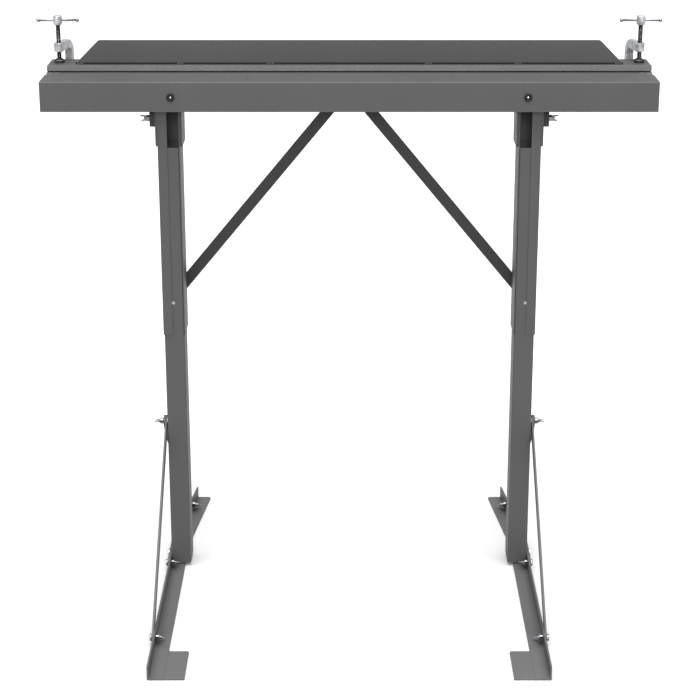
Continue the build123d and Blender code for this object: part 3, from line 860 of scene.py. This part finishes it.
@dataclass
class Welds:
    """Weld beads: tacks along the heel of the clamp bar's angle, and fillets at the leg sockets.

    Attributes:
        tack_x_mm: places of the tacks on one side of the middle.
        tack_mm: length of a tack.
        tack_width_mm: half width of a tack.
        tack_heel_mm: how far a tack's middle lies behind and above the heel.
        fillet_mm: half width of the fillets.
        fillet_in_mm: how far the level fillet stops short of the socket's sides.
        fillet_top_mm: how far the upright fillets stop short of the socket's top.
    """

    shop: Shop
    tack_x_mm: tuple[float, ...] = (131.0, 280.0, 446.0)
    tack_mm: float = 8.0
    tack_width_mm: float = 2.4
    tack_heel_mm: tuple[float, float] = (0.6, 1.0)
    fillet_mm: float = 1.6
    fillet_in_mm: float = 2.0
    fillet_top_mm: float = 4.0

    def bead(self, start: Vector, end: Vector, width_mm: float, seed: int) -> Mesh:
        """Lay one painted bead.

        Args:
            start: one end, in metres.
            end: the other.
            width_mm: half width.
            seed: seed of its ripples.

        Returns:
            The mesh.
        """
        return self.shop.weld.lay(start, end, width_mm, seed, self.shop.paint)

    def tacks(self) -> list[Mesh]:
        """Tacks at the front foot of the clamp bar's upright flange."""
        low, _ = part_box("clamp_bar_stiffener")
        back, rise = (offset * MM for offset in self.tack_heel_mm)
        half = Vector((self.tack_mm * MM / 2, 0, 0))
        beads = []
        for side in Side:
            for index, x_mm in enumerate(self.tack_x_mm):
                middle = Vector((side.value * x_mm * MM, low.y + back, low.z + rise))
                beads.append(self.bead(middle - half, middle + half, self.tack_width_mm, index))
        return beads

    def socket_fillets(self, side: Side) -> list[Mesh]:
        """Fillets where a leg socket meets the bed.

        Args:
            side: which socket.

        Returns:
            One bead along the bed's lower edge and two up its face.
        """
        low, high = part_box(f"leg_socket_{side.word}")
        edge_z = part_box("bed_angle")[0].z
        inset = self.fillet_in_mm * MM
        start = Vector((low.x + inset, high.y, edge_z))
        end = Vector((high.x - inset, high.y, edge_z))
        beads = [self.bead(start, end, self.fillet_mm, LEVEL_SEED)]
        for x in (low.x, high.x):
            foot = Vector((x, high.y, edge_z + inset))
            top = Vector((x, high.y, high.z - self.fillet_top_mm * MM))
            beads.append(self.bead(foot, top, self.fillet_mm, UPRIGHT_SEED))
        return beads

    def build(self) -> None:
        """Lay every bead as one piece on the stand."""
        beads = self.tacks()
        for side in Side:
            beads += self.socket_fillets(side)
        mesh = joined(beads, "weld_beads")
        add_piece("weld_beads", mesh, self.shop.paint, body_of("bed_angle"))


@dataclass
class Fasteners:
    """Wing nuts cast in zinc, and the threaded ends of their bolts.

    Attributes:
        voxel_mm: remesh voxel of the wing nuts.
        edge_mm: edge radius of the bolts.
        thread_mm: how much of each bolt's end is threaded.
        radius_mm: outer radius of the thread of an M6 bolt, a hair over its shank.
        pitch_mm: thread pitch.
        base_m: below this height a bolt belongs to the base, and its tip points inwards.
    """

    shop: Shop
    voxel_mm: float = 0.55
    edge_mm: float = 0.4
    thread_mm: float = 9.0
    radius_mm: float = 3.05
    pitch_mm: float = 1.0
    base_m: float = 0.1

    def wing_nuts(self) -> None:
        """Melt the plain wing nuts into castings."""
        mesh = cast(merged_copy("wing_nuts"), self.voxel_mm)
        body = body_of("wing_nuts")
        add_piece("wing_nuts_cast", mesh, self.shop.dull_zinc, body, ("wing_nuts",))

    def bolt_spans(self) -> list[tuple[Vector, Vector]]:
        """Find each wing bolt of the shared node.

        Returns:
            The lowest and highest corner of each bolt.
        """
        work = bmesh.new()
        mesh = merged_copy("wing_bolts")
        work.from_mesh(mesh)
        bpy.data.meshes.remove(mesh)
        left = set(work.verts)
        spans = []
        while left:
            island, edge = set(), [left.pop()]
            while edge:
                vertex = edge.pop()
                island.add(vertex)
                near = {link.other_vert(vertex) for link in vertex.link_edges} & left
                left -= near
                edge += near
            places = np.array([vertex.co[:] for vertex in island])
            spans.append((Vector(places.min(0)), Vector(places.max(0))))
        work.free()
        return sorted(spans, key=lambda span: tuple(span[0]))

    def threads(self) -> list[Mesh]:
        """Threads on the free ends of the bolts, which lie along X."""
        turn = Matrix.Rotation(pi / 2, 4, "Y")
        meshes = []
        for low, high in self.bolt_spans():
            middle = (low + high) / 2
            points_left = (middle.x > 0) == (middle.z < self.base_m)
            reach = self.thread_mm * MM / 2
            centre_x = low.x + reach if points_left else high.x - reach
            place = Matrix.Translation((centre_x, middle.y, middle.z)) @ turn
            thread = self.shop.thread.cut(
                self.radius_mm, self.thread_mm, self.pitch_mm, self.shop.dull_zinc, place
            )
            meshes.append(thread)
        return meshes

    def build(self) -> None:
        """Make the nuts, the bolts and their threads."""
        self.wing_nuts()
        bolts = rounded(merged_copy("wing_bolts"), self.edge_mm)
        mesh = joined([bolts, *self.threads()], "wing_bolts")
        body = body_of("wing_bolts")
        add_piece("wing_bolts_threaded", mesh, self.shop.dull_zinc, body, ("wing_bolts",))


@dataclass
class CClamp:
    """One C-clamp: cast frame, threaded spindle, cross bar and swivel pad.

    Attributes:
        side: which end of the brake it holds.
        voxel_mm: remesh voxel of the cast frame.
        pitch_mm: pitch of the spindle.
        spindle_mm: outer radius of its thread.
        tip_mm: height of its plain tip.
        head_mm: height of its cross-bored head.
        neck_mm: how far the head's own shape is kept below its underside.
        slack_mm: how much shorter the thread is than the gap between tip and head.
        edge_mm: edge radius of tip and head.
        pad_edge_mm: edge radius of the pad.
        bar_sharp_deg: edges of the cross bar above this angle stay sharp.
    """

    shop: Shop
    side: Side
    voxel_mm: float = 0.7
    pitch_mm: float = 1.25
    spindle_mm: float = 3.98
    tip_mm: float = 7.0
    head_mm: float = 15.5
    neck_mm: float = 1.5
    slack_mm: float = 0.4
    edge_mm: float = 0.4
    pad_edge_mm: float = 0.5
    bar_sharp_deg: float = 50.0

    def frame_casting(self) -> None:
        """The C-frame."""
        node = f"c_clamp_frame_{self.side.word}"
        mesh = cast(merged_copy(node), self.voxel_mm)
        add_piece(f"{node}_cast", mesh, self.shop.casting, body_of(node), (node,))

    def kept_end(self, node: str, level: float, up: int) -> Mesh:
        """Cut one end off the plain spindle and round its edges.

        Args:
            node: the spindle's node.
            level: height of the cut, in metres.
            up: 1 keeps what is below the cut, -1 what is above it.

        Returns:
            The closed end.
        """
        work = bmesh.new()
        plain = merged_copy(node)
        work.from_mesh(plain)
        bpy.data.meshes.remove(plain)
        everything = work.verts[:] + work.edges[:] + work.faces[:]
        cut = bmesh.ops.bisect_plane(
            work, geom=everything, plane_co=(0, 0, level), plane_no=(0, 0, up), clear_outer=True
        )
        rim = [item for item in cut["geom_cut"] if isinstance(item, bmesh.types.BMEdge)]
        bmesh.ops.contextual_create(work, geom=rim)
        end = bpy.data.meshes.new("end")
        work.to_mesh(end)
        work.free()
        return rounded(end, self.edge_mm)

    def spindle(self) -> None:
        """The spindle: plain tip and head from the part, with a cut thread between them."""
        node = f"clamp_screw_{self.side.word}"
        low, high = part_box(node)
        centre = (low + high) / 2
        tip_z = low.z + self.tip_mm * MM
        head_z = high.z - self.head_mm * MM
        tip = self.kept_end(node, tip_z, 1)
        head = self.kept_end(node, head_z - self.neck_mm * MM, -1)
        length_mm = (head_z - tip_z) / MM - self.slack_mm
        place = Matrix.Translation((centre.x, centre.y, (head_z + tip_z) / 2))
        thread = self.shop.thread.cut(self.spindle_mm, length_mm, self.pitch_mm, self.shop.blued, place)
        mesh = joined([tip, head, thread], f"{node}_threaded")
        piece = add_piece(f"{node}_threaded", mesh, self.shop.blued, body_of(node), (node,))
        self.plate_head(piece, head_z)

    def plate_head(self, piece: bpy.types.Object, head_z: float) -> None:
        """Give the spindle's head the plated finish.

        Args:
            piece: the spindle.
            head_z: level of the head's underside.
        """
        piece.data.materials.append(self.shop.casting)
        for face in piece.data.polygons:
            if face.center.z > head_z - self.edge_mm * MM / 2:
                face.material_index = 1

    def cross_bar(self) -> None:
        """The tommy bar, with its balled ends shaded smooth."""
        node = f"tommy_bar_{self.side.word}"
        mesh = smooth(merged_copy(node), self.bar_sharp_deg)
        add_piece(f"{node}_peened", mesh, self.shop.dull_zinc, body_of(node), (node,))

    def pad(self) -> None:
        """The swivel pad."""
        node = f"swivel_pad_{self.side.word}"
        mesh = rounded(merged_copy(node), self.pad_edge_mm, 3)
        add_piece(f"{node}_turned", mesh, self.shop.grey_oxide, body_of(node), (node,))

    def build(self) -> None:
        """Build the clamp."""
        self.frame_casting()
        self.spindle()
        self.cross_bar()
        self.pad()


# ---- room ----------------------------------------------------------------------------------
@dataclass
class Studio:
    """Plain floor, white surroundings, soft lights and the camera.

    Attributes:
        distance_m: from the leaf's front face to the camera.
        height_m: camera height above the floor.
        pitch_deg: how far the camera looks down.
        lens_mm: focal length on a 36 mm sensor.
        shift: sensor shift, as shares of its width.
        sky: brightness of the room at rising shares of the way up: pale walls, a dark frieze
            that gives bare metal its edges, and a lit ceiling.
        overhead_bank: elevation and spread in degrees, and strength, of the light overhead.
        front_bank: the same for the light in front.
        floor_m: side of the floor.
        floor_gap_m: how far the floor lies below the feet, so that no faces coincide.
        mottle_mm: size of the floor's faint patches.
    """

    distance_m: float = 2.8893
    height_m: float = 1.4436
    pitch_deg: float = 17.745
    lens_mm: float = 93.57
    shift: tuple[float, float] = (0.001, -0.0857)
    sky: tuple[tuple[float, float], ...] = ((0.0, 1.0), (0.22, 1.0), (0.3, 0.2), (0.65, 0.25), (0.9, 0.6))
    overhead_bank: tuple[float, float, float] = (80.0, 70.0, 8.6)
    front_bank: tuple[float, float, float] = (24.0, 25.0, 2.4)
    floor_m: float = 14.0
    floor_gap_m: float = 0.0005
    mottle_mm: float = 400.0

    def floor(self) -> None:
        """A pale matt floor under the feet."""
        half = self.floor_m / 2
        corners = [(-half, -half, 0), (half, -half, 0), (half, half, 0), (-half, half, 0)]
        mesh = bpy.data.meshes.new("floor")
        mesh.from_pydata(corners, [], [(0, 1, 2, 3)])
        surface = Surface("pale_floor")
        surface.colour(surface.noise(self.mottle_mm), "a4a4a4", "aaaaaa")
        mesh.materials.append(surface.finished(0.0, 0.9))
        floor = bpy.data.objects.new("floor", mesh)
        floor.location.z = -self.floor_gap_m
        bpy.context.scene.collection.objects.link(floor)

    def surroundings(self) -> None:
        """Soft room light from pale walls and ceiling."""
        world = bpy.data.worlds.new("studio")
        world.use_nodes = True
        tree = world.node_tree
        way = add_node(tree, "ShaderNodeTexCoord").outputs["Generated"]
        axes = add_node(tree, "ShaderNodeSeparateXYZ", {}, {0: way})
        ramp = add_node(tree, "ShaderNodeValToRGB", {}, {0: axes.outputs[2]})
        while len(ramp.color_ramp.elements) < len(self.sky):
            ramp.color_ramp.elements.new(0.5)
        for stop, (height, tone) in zip(ramp.color_ramp.elements, self.sky):
            stop.position = height
            stop.color = (tone, tone, tone, 1.0)
        back = tree.nodes["Background"]
        tree.links.new(ramp.outputs[0], back.inputs["Color"])
        bpy.context.scene.world = world
        bpy.context.scene.view_settings.view_transform = "Standard"

    def bank(self, name: str, elevation_deg: float, spread_deg: float, strength: float) -> None:
        """Add a far, soft bank of light on the camera's side.

        Args:
            name: the light's name.
            elevation_deg: its height above the horizon.
            spread_deg: its angular size.
            strength: its irradiance.
        """
        lamp = bpy.data.lights.new(name, "SUN")
        lamp.angle = radians(spread_deg)
        lamp.energy = strength
        light = bpy.data.objects.new(name, lamp)
        light.rotation_euler = (radians(90.0 - elevation_deg), 0.0, 0.0)
        bpy.context.scene.collection.objects.link(light)

    def camera(self) -> None:
        """The camera in front of the leaf, looking a little down."""
        low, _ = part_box("leaf_angle")
        lens = bpy.data.cameras.new("camera")
        lens.lens = self.lens_mm
        lens.shift_x, lens.shift_y = self.shift
        lens.clip_end = 100.0
        camera = bpy.data.objects.new("camera", lens)
        camera.location = (0.0, low.y - self.distance_m, self.height_m)
        camera.rotation_euler = (radians(90.0 - self.pitch_deg), 0.0, 0.0)
        bpy.context.scene.collection.objects.link(camera)
        bpy.context.scene.camera = camera

    def build(self) -> None:
        """Build the room."""
        self.floor()
        self.surroundings()
        self.bank("overhead_bank", *self.overhead_bank)
        self.bank("front_bank", *self.front_bank)
        self.camera()


def dress_remaining(shop: Shop) -> None:
    """Give each node that still shows its finish.

    Args:
        shop: the finishes.
    """
    for name, node in frame["nodes"].items():
        if node.hide_render:
            continue
        node.data.materials.clear()
        node.data.materials.append(shop.finish_of(slot_of(name)))
        smooth(node.data, PLAIN_SHARP_DEG)
        LOG.info("%s keeps its own shape", name)


def main() -> None:
    """Build the brake's looks in order."""
    logging.basicConfig(level=logging.INFO, format="%(message)s")
    Studio().build()
    shop = Shop()
    SteelWork(shop).build()
    HandleBolts(shop).build()
    Welds(shop).build()
    Fasteners(shop).build()
    for side in Side:
        CClamp(shop, side).build()
    dress_remaining(shop)


if __name__ == "__main__":
    main()
